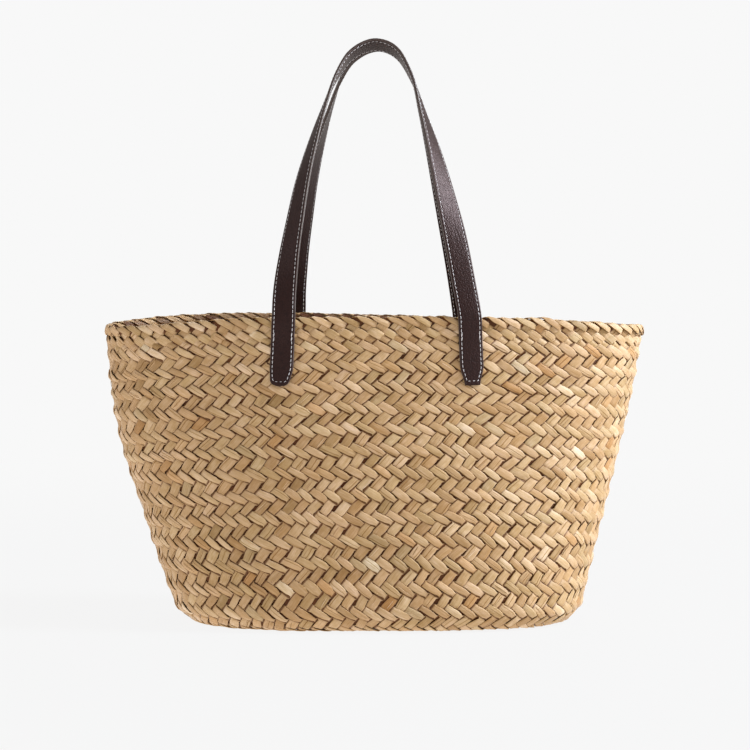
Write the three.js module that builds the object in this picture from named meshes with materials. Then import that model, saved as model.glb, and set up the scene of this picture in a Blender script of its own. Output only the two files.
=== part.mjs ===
// Straw basket bag: an open plaited basket, a braided rim and two leather shoulder straps.
// Millimetres, +Z up. The origin is the centre of the flat underside. +X runs along the length
// of the bag, to the right as seen from the front, and the front faces -Y.
import * as THREE from "three";

// Basket. Widths and depths are over the outside of the wall.
const rimHeight = 276.5; // floor to the top of the rim, on average round the rim
const rimWave = 5.1; // how far the rim rises over that at its crests, and falls below it
const rimWidth = 495;
const rimDepth = 196;
const baseWidth = 367; // where the wall would meet the floor if its lower corner were sharp
const baseDepth = 250;
const baseCornerRadius = 20;
const wallThickness = 3;
const baseThickness = 3;

// Rim braid, the folded and plaited edge that stands on the wall
const rimBraidHeight = 11;
const rimBraidThickness = 6;
const rimBraidRound = 0.45; // share of each half side that is rounded off

// Straps, two layers of leather sewn together
const strapWidth = 21.5;
const strapThickness = 3;
const strapEdgeRound = 0.8;
const strapRise = 254.5; // top of the rim to the middle of the strap at the top of its arch
const strapApexLean = 25; // degrees that the leather leans towards the other strap at the top
const strapTabLength = 59; // how far a strap's end reaches down the wall from the top of the rim
const strapTabSplay = 2.5; // how much further out a strap's end sits than its leg at the rim
const frontStrapSpacing = 167; // between the middles of a strap's two legs, at the rim
const frontStrapShift = 2.5; // how far right of the rim's middle the strap is sewn on
const backStrapSpacing = 163;
const backStrapShift = 5;
const roundEndLength = 11; // the left end of a strap is rounded like a U
const taperedEndLength = 13; // the right end narrows to a straight cut
const taperedEndWidth = 14;

// Clearances
const seatGap = 0.3; // between the wall and the rim braid, which is plaited onto it
const strapSeat = 0.45; // behind a strap, which lies flat on a wall that is slightly round
const apexGap = 2; // between the two straps where they meet at the top

// Resolution
const aroundSteps = 60;
const wallSteps = 14;
const cornerSteps = 4;
const strapSteps = 72;

const wallTop = rimHeight - rimBraidHeight - seatGap;
const rimProud = (rimBraidThickness - wallThickness) / 2;
const UP = new THREE.Vector3(0, 0, 1);

// The wall from floor to rim.
// rise: share of the wall's height. widen and narrow: shares of the way from the base's width and
// depth to the rim's. squareness: exponent of the outline, where 2 is an ellipse.
// drift: sideways shift of the outline, as a share of the rim's width.
const WALL_LINE = [
  { rise: 0.0, widen: 0.0, narrow: 0.0, squareness: 2.9, drift: 0.011 },
  { rise: 0.2, widen: 0.25, narrow: 0.14, squareness: 2.66, drift: 0.004 },
  { rise: 0.4, widen: 0.49, narrow: 0.32, squareness: 2.46, drift: 0.0 },
  { rise: 0.65, widen: 0.77, narrow: 0.62, squareness: 2.35, drift: -0.005 },
  { rise: 0.85, widen: 0.93, narrow: 0.85, squareness: 2.27, drift: -0.003 },
  { rise: 1.0, widen: 1.0, narrow: 1.0, squareness: 2.2, drift: 0.0 },
];

// Waves of the rim, added together.
// crests: how many crests the wave has round the rim. height: share of rimWave.
// turn: place of its first crest, in degrees from the right-hand end, 270 at the front's middle.
const RIM_WAVES = [
  { crests: 1, height: 0.22, turn: 208 },
  { crests: 2, height: 1.0, turn: 105 },
  { crests: 3, height: 0.15, turn: 14 },
];

// Soft hollows (push above 0) and swells (push below 0) of the plaited wall.
// turn: as above. rise and tall: shares of the wall's height. wide: degrees.
// push: share of the rim's depth.
const DENTS = [
  { turn: 270, rise: 1.0, wide: 24, tall: 0.3, push: 0.008 },
  { turn: 222, rise: 0.95, wide: 20, tall: 0.3, push: 0.012 },
  { turn: 205, rise: 0.55, wide: 26, tall: 0.35, push: -0.01 },
  { turn: 318, rise: 0.45, wide: 26, tall: 0.3, push: 0.01 },
  { turn: 265, rise: 0.42, wide: 40, tall: 0.35, push: -0.012 },
  { turn: 92, rise: 1.0, wide: 26, tall: 0.3, push: 0.01 },
  { turn: 60, rise: 0.5, wide: 34, tall: 0.35, push: -0.012 },
  { turn: 130, rise: 0.4, wide: 30, tall: 0.3, push: 0.01 },
];

// The arch of a strap, from its left leg over the top to its right leg.
// side: share of half the spacing of the legs. rise: share of the strap's rise above the rim.
// lean: share of the way from the wall to the other strap. turn: degrees that the flat of the
// leather has turned, from lying on the wall at the left leg to lying on it at the right leg.
const STRAP_ARCH = [
  { side: -0.99, rise: 0.11, lean: 0.06, turn: 8 },
  { side: -0.945, rise: 0.24, lean: 0.15, turn: 27 },
  { side: -0.885, rise: 0.36, lean: 0.25, turn: 38 },
  { side: -0.8, rise: 0.51, lean: 0.39, turn: 50 },
  { side: -0.69, rise: 0.65, lean: 0.54, turn: 63 },
  { side: -0.565, rise: 0.78, lean: 0.7, turn: 76 },
  { side: -0.44, rise: 0.885, lean: 0.84, turn: 84 },
  { side: -0.28, rise: 0.962, lean: 0.95, turn: 88 },
  { side: -0.03, rise: 1.0, lean: 1.0, turn: 90 },
  { side: 0.2, rise: 0.976, lean: 0.96, turn: 91 },
  { side: 0.39, rise: 0.875, lean: 0.82, turn: 96 },
  { side: 0.505, rise: 0.755, lean: 0.67, turn: 110 },
  { side: 0.63, rise: 0.61, lean: 0.5, turn: 130 },
  { side: 0.755, rise: 0.44, lean: 0.33, turn: 152 },
  { side: 0.85, rise: 0.3, lean: 0.2, turn: 170 },
  { side: 0.94, rise: 0.14, lean: 0.08, turn: 178 },
];

// A column of a table at a place between its rows, as a smooth curve through them.
function read(table, key, at, column) {
  const last = table.length - 1;
  const place = THREE.MathUtils.clamp(at, table[0][key], table[last][key]);
  let row = 0;
  while (row < last - 1 && place > table[row + 1][key]) row++;
  const slope = (i) => {
    const before = table[Math.max(i - 1, 0)];
    const after = table[Math.min(i + 1, last)];
    return (after[column] - before[column]) / (after[key] - before[key]);
  };
  const span = table[row + 1][key] - table[row][key];
  const t = (place - table[row][key]) / span;
  const start = table[row][column];
  const end = table[row + 1][column];
  return (
    start * (2 * t ** 3 - 3 * t ** 2 + 1) +
    end * (3 * t ** 2 - 2 * t ** 3) +
    slope(row) * span * (t ** 3 - 2 * t ** 2 + t) +
    slope(row + 1) * span * (t ** 3 - t ** 2)
  );
}

// How far the dents push the wall in at a place.
function dentDepth(turn, rise) {
  let depth = 0;
  for (const dent of DENTS) {
    const degrees = THREE.MathUtils.radToDeg(turn) - dent.turn;
    const away = THREE.MathUtils.euclideanModulo(degrees + 180, 360) - 180;
    const across = away / dent.wide;
    const up = (rise - dent.rise) / dent.tall;
    depth += dent.push * rimDepth * Math.exp(-across * across - up * up);
  }
  return depth;
}

// How far the rim lies above its average height.
function rimLift(turn) {
  let lift = 0;
  for (const wave of RIM_WAVES) {
    const crest = THREE.MathUtils.degToRad(wave.turn);
    lift += wave.height * rimWave * Math.cos(wave.crests * (turn - crest));
  }
  return lift;
}

// Half the width and half the depth of the basket's outline at a rise.
function outlineAt(rise) {
  const width = THREE.MathUtils.lerp(baseWidth, rimWidth, read(WALL_LINE, "rise", rise, "widen"));
  const depth = THREE.MathUtils.lerp(baseDepth, rimDepth, read(WALL_LINE, "rise", rise, "narrow"));
  return {
    halfWidth: width / 2,
    halfDepth: depth / 2,
    squareness: read(WALL_LINE, "rise", rise, "squareness"),
    drift: rimWidth * read(WALL_LINE, "rise", rise, "drift"),
  };
}

// A point on the wall. turn is in radians from the right-hand end, anticlockwise from above.
// inset moves it in from the outside of the wall, and shrink draws the whole outline together.
function wallPoint(turn, rise, inset = 0, shrink = 1) {
  const outline = outlineAt(rise);
  const power = 2 / outline.squareness;
  const across = Math.sign(Math.cos(turn)) * Math.abs(Math.cos(turn)) ** power;
  const along = Math.sign(Math.sin(turn)) * Math.abs(Math.sin(turn)) ** power;
  const inward = inset + dentDepth(turn, rise);
  return new THREE.Vector3(
    outline.drift + shrink * (outline.halfWidth - inward) * across,
    shrink * (outline.halfDepth - inward) * along,
    rise * wallTop + rimLift(turn) * Math.min(rise, 1) ** 2,
  );
}

// A ring of points round the basket.
function wallRing(rise, inset, shrink = 1) {
  const ring = [];
  for (let i = 0; i < aroundSteps; i++) {
    ring.push(wallPoint((i / aroundSteps) * Math.PI * 2, rise, inset, shrink));
  }
  return ring;
}

// Joins rings of points into one closed skin. A ring of one point closes an end, and a loop joins
// the last ring to the first.
function skin(rings, loop = false) {
  const positions = [];
  const starts = [];
  for (const ring of rings) {
    starts.push(positions.length / 3);
    for (const point of ring) positions.push(point.x, point.y, point.z);
  }
  const indices = [];
  const joins = loop ? rings.length : rings.length - 1;
  for (let i = 0; i < joins; i++) {
    const next = (i + 1) % rings.length;
    const count = Math.max(rings[i].length, rings[next].length);
    for (let j = 0; j < count; j++) {
      const after = (j + 1) % count;
      const here = starts[i] + (j % rings[i].length);
      const beside = starts[i] + (after % rings[i].length);
      const above = starts[next] + (j % rings[next].length);
      const across = starts[next] + (after % rings[next].length);
      if (here !== beside) indices.push(here, beside, across);
      if (above !== across) indices.push(here, across, above);
    }
  }
  const geometry = new THREE.BufferGeometry();
  geometry.setAttribute("position", new THREE.Float32BufferAttribute(positions, 3));
  geometry.setIndex(indices);
  geometry.computeVertexNormals();
  return geometry;
}

// The middle of a flat floor, and a ring halfway out to its edge.
function floorRings(inset, height) {
  const rise = height / wallTop;
  const level = (point) => point.setZ(height);
  const centre = new THREE.Vector3(outlineAt(rise).drift, 0, height);
  return [[centre], wallRing(rise, inset, 0.5).map(level)];
}

// The edge of a flat floor, the rounded corner round it and the wall up to the rim.
function wallRings(inset, height) {
  const radius = baseCornerRadius - inset;
  const level = (point) => point.setZ(height);
  const rings = [wallRing(height / wallTop, baseCornerRadius).map(level)];
  for (let i = 1; i <= cornerSteps; i++) {
    const angle = (i / cornerSteps) * (Math.PI / 2);
    const rise = (height + radius * (1 - Math.cos(angle))) / wallTop;
    rings.push(wallRing(rise, baseCornerRadius - radius * Math.sin(angle)));
  }
  const cornerTop = (height + radius) / wallTop;
  for (let i = 1; i <= wallSteps; i++) {
    rings.push(wallRing(THREE.MathUtils.lerp(cornerTop, 1, i / wallSteps), inset));
  }
  return rings;
}

// The plaited basket, base and wall in one piece and open at the top.
function basketBody() {
  const outside = [...floorRings(baseCornerRadius, 0), ...wallRings(0, 0)];
  const inside = [
    ...floorRings(baseCornerRadius, baseThickness),
    ...wallRings(wallThickness, baseThickness),
  ];
  return skin([...outside, ...inside.reverse()]);
}

// Direction that the outside of the wall faces at a place.
function wallNormal(turn, rise) {
  const step = 0.01;
  const along = wallPoint(turn + step, rise).sub(wallPoint(turn - step, rise));
  const up = wallPoint(turn, rise).sub(wallPoint(turn, rise - step));
  return along.cross(up).normalize();
}

// The braided edge, a rounded band that follows the top of the wall.
function rimBraid() {
  const halfHeight = rimBraidHeight / 2;
  const halfThickness = rimBraidThickness / 2;
  const straight = 1 - rimBraidRound;
  const section = [
    [-straight, 1],
    [straight, 1],
    [1, straight],
    [1, -straight],
    [straight, -1],
    [-straight, -1],
    [-1, -straight],
    [-1, straight],
  ];
  const rings = [];
  for (let i = 0; i < aroundSteps; i++) {
    const turn = (i / aroundSteps) * Math.PI * 2;
    const middle = wallPoint(turn, 1, wallThickness / 2);
    middle.z += seatGap + halfHeight;
    const out = wallNormal(turn, 1).setZ(0).normalize();
    rings.push(
      section.map(([outward, upward]) =>
        middle
          .clone()
          .addScaledVector(out, outward * halfThickness)
          .addScaledVector(UP, upward * halfHeight),
      ),
    );
  }
  return skin(rings, true);
}

// The two straps. face is 1 in front and -1 at the back.
const FRONT_STRAP = { face: 1, spacing: frontStrapSpacing, shift: frontStrapShift };
const BACK_STRAP = { face: -1, spacing: backStrapSpacing, shift: backStrapShift };

// Turn, in radians, where the front or back wall stands at x.
function turnAt(x, rise, face) {
  const outline = outlineAt(rise);
  const share = (x - outline.drift) / outline.halfWidth;
  const cosine = Math.sign(share) * Math.abs(share) ** (outline.squareness / 2);
  return -face * Math.acos(cosine);
}

// Where the middle of a strap's leg lies on the wall. side is -1 left and 1 right, and drop is
// how far the place is below the top of the rim.
function tabPlace({ face, spacing, shift }, side, drop) {
  const x = shift + side * (spacing / 2 + strapTabSplay * (drop / strapTabLength));
  const height = rimHeight - drop;
  const rise = Math.min(height / wallTop, 1);
  const turn = turnAt(x, rise, face);
  const overRim = THREE.MathUtils.smoothstep(height, wallTop - rimBraidHeight, wallTop);
  const centre = wallPoint(turn, rise);
  centre.z += Math.max(height - wallTop, 0);
  const outward = strapThickness / 2 + strapSeat + rimProud * overRim;
  return centre.addScaledVector(wallNormal(turn, rise), outward);
}

// Way that the width of a strap's leg points where it lies on the wall, from left to right.
function tabWidthWay({ face, spacing, shift }, side) {
  const out = wallNormal(turnAt(shift + side * (spacing / 2), 1, face), 1);
  return new THREE.Vector3(-out.y, out.x, 0).multiplyScalar(face).normalize();
}

// Stations of a strap: the middle of the leather and the way that its width points. It starts
// at the left end, where the width points right, and at the right end it points left.
function strapStations(place) {
  const stations = [];
  const lean = THREE.MathUtils.degToRad(strapApexLean);
  const over = new THREE.Vector3(0, -place.face * Math.cos(lean), Math.sin(lean));
  const left = tabWidthWay(place, -1);
  const right = tabWidthWay(place, 1);
  const add = (centre, turn) => {
    const angle = THREE.MathUtils.degToRad(turn);
    const flat = turn < 90 ? left : right;
    const width = flat.clone().multiplyScalar(Math.cos(angle));
    stations.push({ centre, width: width.addScaledVector(over, Math.sin(angle)) });
  };
  const drops = [1, 0.8, 0.6, 0.4, 0.2, 0].map((share) => share * strapTabLength);
  for (const drop of drops) add(tabPlace(place, -1, drop), 0);
  const foot = tabPlace(place, 1, 0);
  const apexDepth = (apexGap + strapWidth * Math.cos(lean) + strapThickness) / 2;
  for (const row of STRAP_ARCH) {
    const centre = new THREE.Vector3(
      place.shift + row.side * (place.spacing / 2),
      THREE.MathUtils.lerp(foot.y, -place.face * apexDepth, row.lean),
      rimHeight + row.rise * strapRise,
    );
    add(centre, row.turn);
  }
  for (const drop of drops.reverse()) add(tabPlace(place, 1, drop), 180);
  return stations;
}

// Half the width of the leather at a distance from its left end, and from its right end.
function strapHalfWidth(fromLeft, fromRight) {
  const full = strapWidth / 2;
  if (fromLeft < roundEndLength) {
    const short = 1 - fromLeft / roundEndLength;
    return full * Math.sqrt(1 - 0.9 * short ** 2.6);
  }
  const share = Math.min(fromRight / taperedEndLength, 1);
  return THREE.MathUtils.lerp(taperedEndWidth / 2, full, share);
}

// Distances along a strap of its rings, closer together at its shaped ends.
function strapRingPlaces(length) {
  const places = [0, 0.08, 0.25, 0.55, 1].map((share) => share * roundEndLength);
  const start = roundEndLength;
  const end = length - taperedEndLength;
  for (let i = 1; i <= strapSteps; i++) {
    places.push(THREE.MathUtils.lerp(start, end, i / strapSteps));
  }
  places.push(length - taperedEndLength / 2, length);
  return places;
}

// One strap, a ribbon of leather with softened edges.
function strap(place) {
  const stations = strapStations(place);
  const path = new THREE.CatmullRomCurve3(stations.map((station) => station.centre));
  const ways = new THREE.CatmullRomCurve3(stations.map((station) => station.width));
  const length = path.getLength();
  const thick = strapThickness / 2;
  const flat = thick - strapEdgeRound;
  const rings = [];
  for (const distance of strapRingPlaces(length)) {
    const t = path.getUtoTmapping(distance / length);
    const centre = path.getPoint(t);
    const ahead = path.getTangent(t);
    const width = ways.getPoint(t);
    width.addScaledVector(ahead, -width.dot(ahead)).normalize();
    const out = width.clone().cross(ahead);
    const half = strapHalfWidth(distance, length - distance);
    const section = [
      [-half, flat],
      [-half + strapEdgeRound, thick],
      [half - strapEdgeRound, thick],
      [half, flat],
      [half, -flat],
      [half - strapEdgeRound, -thick],
      [-half + strapEdgeRound, -thick],
      [-half, -flat],
    ];
    rings.push(
      section.map(([sideways, outward]) =>
        centre.clone().addScaledVector(width, sideways).addScaledVector(out, outward),
      ),
    );
  }
  const start = [stations[0].centre];
  const end = [stations[stations.length - 1].centre];
  return skin([start, ...rings, end]);
}

function piece(name, geometry, material) {
  const mesh = new THREE.Mesh(geometry, material);
  mesh.name = name;
  return mesh;
}

const straw = new THREE.MeshStandardMaterial({ color: 0xc3a278, roughness: 0.75, metalness: 0 });
const rimStraw = new THREE.MeshStandardMaterial({ color: 0xbf9c72, roughness: 0.75, metalness: 0 });
const leather = new THREE.MeshStandardMaterial({ color: 0x35261f, roughness: 0.45, metalness: 0 });

const bag = new THREE.Group();
bag.name = "straw_basket_bag";
bag.add(piece("basket_body", basketBody(), straw));
bag.add(piece("rim_braid", rimBraid(), rimStraw));
bag.add(piece("strap_front", strap(FRONT_STRAP), leather));
bag.add(piece("strap_back", strap(BACK_STRAP), leather));

export default bag;
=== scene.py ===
"""A straw basket bag with two stitched leather shoulder straps, in metres.

The CAD solids give the places and the sizes. The basket is laid here from flat strips of straw:
falling strips and rising strips cross in a twill, run under the floor's edge and fold over the
rim. The straps are two layers of leather sewn along both edges.
"""

import math

import bpy
import numpy as np
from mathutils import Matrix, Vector


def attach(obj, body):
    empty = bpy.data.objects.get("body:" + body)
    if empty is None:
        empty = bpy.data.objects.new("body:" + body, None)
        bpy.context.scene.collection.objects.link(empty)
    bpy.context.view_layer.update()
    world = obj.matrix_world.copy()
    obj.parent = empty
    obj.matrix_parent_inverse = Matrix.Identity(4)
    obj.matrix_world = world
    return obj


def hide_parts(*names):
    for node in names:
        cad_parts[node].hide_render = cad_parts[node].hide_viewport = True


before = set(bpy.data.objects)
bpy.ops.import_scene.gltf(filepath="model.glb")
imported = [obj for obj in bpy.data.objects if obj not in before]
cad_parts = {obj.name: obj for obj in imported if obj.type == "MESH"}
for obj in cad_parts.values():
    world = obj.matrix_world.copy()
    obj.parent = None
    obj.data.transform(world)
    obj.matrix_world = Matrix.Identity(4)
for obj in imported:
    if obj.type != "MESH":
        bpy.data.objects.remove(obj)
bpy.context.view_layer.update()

# Camera
CAMERA_PLACE = (0.001, -2.7, 0.350)
CAMERA_TILT = math.radians(-2.635)
CAMERA_LENS = 139.4
SENSOR = 36.0

# Light: the pale surroundings, brighter below than above, and four soft lamps
PALE = 248
WORLD_COLOUR = (1.0, 0.955, 0.915, 1)
WORLD_BELOW = 1.30
WORLD_ABOVE = 0.45
WORLD_UNDER_BAG = 0.1
FLOOR_REACH = 30
LIGHT_TARGET = (0, 0, 0.2)
LIGHTS = (
    # name, place, width, power in watts, colour
    ("key", (2.8, -0.4, 2.0), 1.0, 180, (0.86, 0.93, 1.0)),
    ("gloss", (2.8, -0.4, 2.0), 1.8, 175, (1, 1, 1)),
    ("left", (-2.4, -0.8, 1.0), 1.4, 12, (1, 1, 1)),
    ("back", (0.4, 2.4, 1.8), 1.6, 18, (1, 1, 1)),
)

# The twill on the wall. A level is one crossing higher, a pitch is one strip further round.
STRIPS_ROUND = 88
FALLING_SHARE = 0.625
RISING_SHARE = 0.375
LEVEL_LENGTH = 0.0085
LEVEL_STEPS = np.array([-0.5, -0.38, -0.2, 0.1, 0.5, 0.9, 1.25])
LOWEST_LEVEL = -56
HIGHEST_LEVEL = 5
STRIP_TOP = 5.9
# Above this level the strips, hidden under the rim's folds, are painted dark as shade
PAINTED_SHADE_LEVEL = 4.6
OVAL_LEVEL = 3

# Lengths along the wall, from the floor's edge to the rim
WALL_LENGTH = 0.2833
TOP_ROW_RISE = 0.2680
LEVEL_RISE = 0.00446
LEVEL_SHRINK = 0.0000105
RIM_LEVEL_EXTRA = 0.00045
RIM_REACH = 0.0113
UNDER_REACH = 0.0156

# The strips of straw. Half widths are in pitches, heights in metres off the wall's middle.
STRIP_THICKNESS = 0.0011
STRIP_CROWN = 0.00026
WALL_MIDDLE = -0.0011
UNDER_MIDDLE = -0.0022
WEAVE_HEIGHT = 0.00085
FLOAT_BULGE = 0.00025
ROW_RELIEF = 0.0008
OVAL_RISE = 0.0006
OVAL_WIDENING = 0.12
TUCKED_DEPTH = 0.0008
FALLING_HALF = 0.515
RISING_HALF = 0.455
LOWER_END_NARROWING = 0.36
OTHER_END_NARROWING = 0.12
NARROWING_REACH = 0.7
UNDER_HALF = 0.545
UNDER_SHIFT = 0.35
END_WIDENING = 0.06
FALLING_TILT = 0.00026
FALLING_TONE = 0.57
RISING_TONE = 0.45
UNEVEN_LEVELS = 0.11
UNEVEN_PITCHES = 0.07
UNEVEN_TURNS = (2, 3, 5, 8, 13)

# Painted shade on the wall's strips: darker dives, and painted dark edge lines that fade at the basket's
# ends
DIVE_DARKENING = 0.6
DIVE_FADING = 0.8
RISING_EDGE = 0.92
EDGE_FADING = 0.24
TIP_EDGE = 0.36
TIP_REACH = 1.1

# A strip's cross-section: places across it and heights, as shares of its half width and thickness
SECTION_ACROSS = np.array([-1.0, -0.93, -0.76, 0.76, 0.93, 1.0, 0.72, -0.72])
SECTION_HEIGHT = np.array([-0.10, 0.36, 0.5, 0.5, 0.36, -0.10, -0.5, -0.5])
# 1 on a strip's outer face, -1 on its inner face, where the painted depth shade is turned over
OUTER_FACE = np.where(SECTION_HEIGHT > -0.3, 1.0, -1.0)

# The floor's weave, with strips that rise at their ends over the wall's
FLOOR_PITCH = 0.0098
FLOOR_HEIGHT = 0.0022
FLOOR_INSET = 0.0045
FLOOR_END_RISE = 0.0016
FLOOR_END_REACH = 0.008
FLOOR_WEAVE = 0.0006
FLOOR_SLANT = math.radians(45)
FLOOR_STRIPS = 26

# The rim: each rising strip folds over the edge and comes down in front
FOLD_PATH = (
    # along in pitches, up and out in millimetres, half the width in millimetres, facing in degrees
    (-1.30, -11.0, -3.2, 2.6, 182),
    (-0.75, -7.2, -4.2, 2.6, 180),
    (-0.20, -4.4, -4.8, 2.5, 172),
    (0.22, -2.3, -4.6, 2.4, 140),
    (0.52, -0.8, -3.7, 2.2, 105),
    (0.74, -0.5, -2.4, 2.1, 78),
    (0.92, -0.7, -0.9, 2.3, 48),
    (1.12, -1.5, 0.4, 2.6, 16),
    (1.40, -3.0, 1.0, 2.8, 3),
    (1.68, -4.8, 1.1, 2.85, 0),
    (1.92, -6.4, 0.8, 2.8, -6),
    (2.04, -7.1, 0.1, 2.5, -12),
)
FOLD_STATIONS = 40
FOLD_PITCH = 13.0
FOLD_DROP = 12.0
FOLD_TILT = 0.0005
FOLD_CURL = 0.0004
FOLD_RISE = 0.0014

# A swelling of the rim at the front's left part
RIM_SWELL = 0.0022
SWELL_TURN = 0.635
SWELL_REACH = 0.05

# The straps
STRAP_WIDTH = 0.0215
ROUND_END = 0.006
ROUND_TAPER = 0.018
ROUND_WIDTH = 0.0172
END_SHIFT = 0.0012
STRAP_END = 0.014
THIN_END = 0.0006
TAPERED_END = 0.018
TAPERED_WIDTH = 0.014
STITCH_INSET = 0.0024
STITCH_END_INSET = 0.0038
STITCH_SPACING = 0.0040
STITCH_LENGTH = 0.0029
STITCH_RADIUS = 0.00027
STITCH_HEIGHT = 0.00122
STITCH_ARCH = 0.00028
BACK_STITCHES = (0.0425, 0.0465)

# The strap's outline from its edge inwards: a round edge, the sewn groove and a low crown
EDGE_STEPS = np.array((0.0, 0.12, 0.5, 1.4, 2.05, 2.4, 2.8, 3.6, 6.5)) * 0.001
EDGE_HEIGHTS = np.array((0.0, 0.75, 1.22, 1.4, 1.38, 1.22, 1.4, 1.48, 1.56)) * 0.001
PAINTED_EDGE = 0.0005
STRAP_CROWN = 0.0016

# Thin fibres lying loose on the strips
RISING_FIBRES = 300
FALLING_FIBRES = 80

UPRIGHT = np.array((0.0, 0.0, 1.0))
SEED = 11


def linear(red, green, blue):
    """A colour given as 0 to 255 on a screen, in the shader's own scale."""
    parts = []
    for value in (red, green, blue):
        share = value / 255
        parts.append(share / 12.92 if share <= 0.04045 else ((share + 0.055) / 1.055) ** 2.4)
    return (*parts, 1.0)


def ease(share):
    """Goes smoothly from 0 to 1."""
    share = np.clip(share, 0.0, 1.0)
    return share * share * (3 - 2 * share)


def make_camera():
    data = bpy.data.cameras.new("camera")
    data.lens = CAMERA_LENS
    data.sensor_width = SENSOR
    data.clip_end = 100
    camera = bpy.data.objects.new("camera", data)
    camera.location = CAMERA_PLACE
    camera.rotation_euler = (math.radians(90) + CAMERA_TILT, 0, 0)
    bpy.context.collection.objects.link(camera)
    bpy.context.scene.camera = camera


def make_light(name, place, size, power, colour):
    data = bpy.data.lights.new(name, "AREA")
    data.color = colour
    data.shape = "DISK"
    data.size = size
    data.energy = power
    light = bpy.data.objects.new(name, data)
    light.location = place
    light.rotation_euler = (Vector(LIGHT_TARGET) - Vector(place)).to_track_quat("-Z", "Y").to_euler()
    bpy.context.collection.objects.link(light)
    return light


def make_stage(outline):
    """A pale floor, a pale world and soft lights, the strongest from the right.

    The gloss light shares the key light's place and shows only as a sheen.
    """
    world = bpy.data.worlds.new("studio")
    bpy.context.scene.world = world
    world.use_nodes = True
    nodes = world.node_tree.nodes
    links = world.node_tree.links
    nodes.clear()
    output = nodes.new("ShaderNodeOutputWorld")
    seen = nodes.new("ShaderNodeBackground")
    seen.inputs["Color"].default_value = linear(PALE, PALE, PALE)
    lit = nodes.new("ShaderNodeBackground")
    lit.inputs["Color"].default_value = WORLD_COLOUR
    way = nodes.new("ShaderNodeTexCoord")
    parts = nodes.new("ShaderNodeSeparateXYZ")
    links.new(way.outputs["Generated"], parts.inputs[0])
    fade = nodes.new("ShaderNodeMapRange")
    fade.interpolation_type = "SMOOTHSTEP"
    fade.inputs["From Min"].default_value = -0.2
    fade.inputs["From Max"].default_value = 0.2
    fade.inputs["To Min"].default_value = WORLD_BELOW
    fade.inputs["To Max"].default_value = WORLD_ABOVE
    links.new(parts.outputs["Z"], fade.inputs["Value"])
    links.new(fade.outputs["Result"], lit.inputs["Strength"])
    rays = nodes.new("ShaderNodeLightPath")
    mix = nodes.new("ShaderNodeMixShader")
    links.new(rays.outputs["Is Camera Ray"], mix.inputs["Fac"])
    links.new(lit.outputs[0], mix.inputs[1])
    links.new(seen.outputs[0], mix.inputs[2])
    links.new(mix.outputs[0], output.inputs["Surface"])

    floor_mesh = bpy.data.meshes.new("floor")
    corners = [(x * FLOOR_REACH, y * FLOOR_REACH, 0) for x, y in ((-1, -1), (1, -1), (1, 1), (-1, 1))]
    floor_mesh.from_pydata(corners, [], [(0, 1, 2, 3)])
    floor = bpy.data.objects.new("floor", floor_mesh)
    bpy.context.collection.objects.link(floor)
    floor_mesh.materials.append(floor_material(*np.abs(outline).max(axis=0)[:2]))

    for name, place, size, power, colour in LIGHTS:
        make_light(name, place, size, power, colour).visible_diffuse = name != "gloss"
    bpy.context.scene.view_settings.view_transform = "Standard"


def floor_material(half_width, half_depth):
    """A pale floor that fades into the pale world. It gives no light from under the bag."""
    n = Nodes("pale_floor")
    n.shader.inputs["Base Color"].default_value = (0.03, 0.03, 0.03, 1)
    n.shader.inputs["Roughness"].default_value = 1.0
    n.shader.inputs["Specular IOR Level"].default_value = 0.0
    n.shader.inputs["Emission Color"].default_value = (1, 1, 1, 1)
    n.shader.inputs["Emission Strength"].default_value = 0.885
    place = n.place()
    distance = n.add("ShaderNodeVectorMath", operation="LENGTH")
    n.put(distance.inputs[0], place)
    far = n.add("ShaderNodeEmission")
    far.inputs["Color"].default_value = linear(PALE, PALE, PALE)
    mix = n.add("ShaderNodeMixShader")
    n.put(mix.inputs["Fac"], n.step(distance.outputs["Value"], 0.4, 2.0))
    n.put(mix.inputs[1], n.shader.outputs[0])
    n.put(mix.inputs[2], far.outputs[0])
    beneath = n.add("ShaderNodeVectorMath", operation="MULTIPLY")
    n.put(beneath.inputs[0], place)
    beneath.inputs[1].default_value = (1 / half_width, 1 / half_depth, 0)
    share = n.add("ShaderNodeVectorMath", operation="LENGTH")
    n.put(share.inputs[0], beneath.outputs[0])
    glow = n.add("ShaderNodeEmission")
    glow.inputs["Color"].default_value = WORLD_COLOUR
    strength = n.step(share.outputs["Value"], 0.84, 1.02, WORLD_UNDER_BAG, WORLD_BELOW)
    n.put(glow.inputs["Strength"], strength)
    rays = n.add("ShaderNodeLightPath")
    seen = n.add("ShaderNodeMixShader")
    n.put(seen.inputs["Fac"], rays.outputs["Is Camera Ray"])
    n.put(seen.inputs[1], glow.outputs[0])
    n.put(seen.inputs[2], mix.outputs[0])
    n.put(n.tree.nodes["Material Output"].inputs["Surface"], seen.outputs[0])
    return n.material


def cad_rings(name, hub_axis):
    """The rings of points of a CAD solid, from one pole to the other.

    Points at one place are joined. The poles are the points with the most neighbours, and the
    first one is the pole that is lowest along the axis.
    """
    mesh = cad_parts[name].data
    places = {}
    joined = []
    points = []
    for vertex in mesh.vertices:
        key = tuple(round(value, 5) for value in vertex.co)
        if key not in places:
            places[key] = len(points)
            points.append(tuple(vertex.co))
        joined.append(places[key])
    neighbours = [set() for point in points]
    for edge in mesh.edges:
        first = joined[edge.vertices[0]]
        second = joined[edge.vertices[1]]
        if first != second:
            neighbours[first].add(second)
            neighbours[second].add(first)
    poles = sorted(range(len(points)), key=lambda index: -len(neighbours[index]))[:2]
    start = min(poles, key=lambda index: points[index][hub_axis])
    seen = {start}
    layer = [start]
    rings = []
    while layer:
        following = sorted({other for index in layer for other in neighbours[index]} - seen)
        seen.update(following)
        if following:
            rings.append(np.array([points[index] for index in following]))
        layer = following
    return rings


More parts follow.
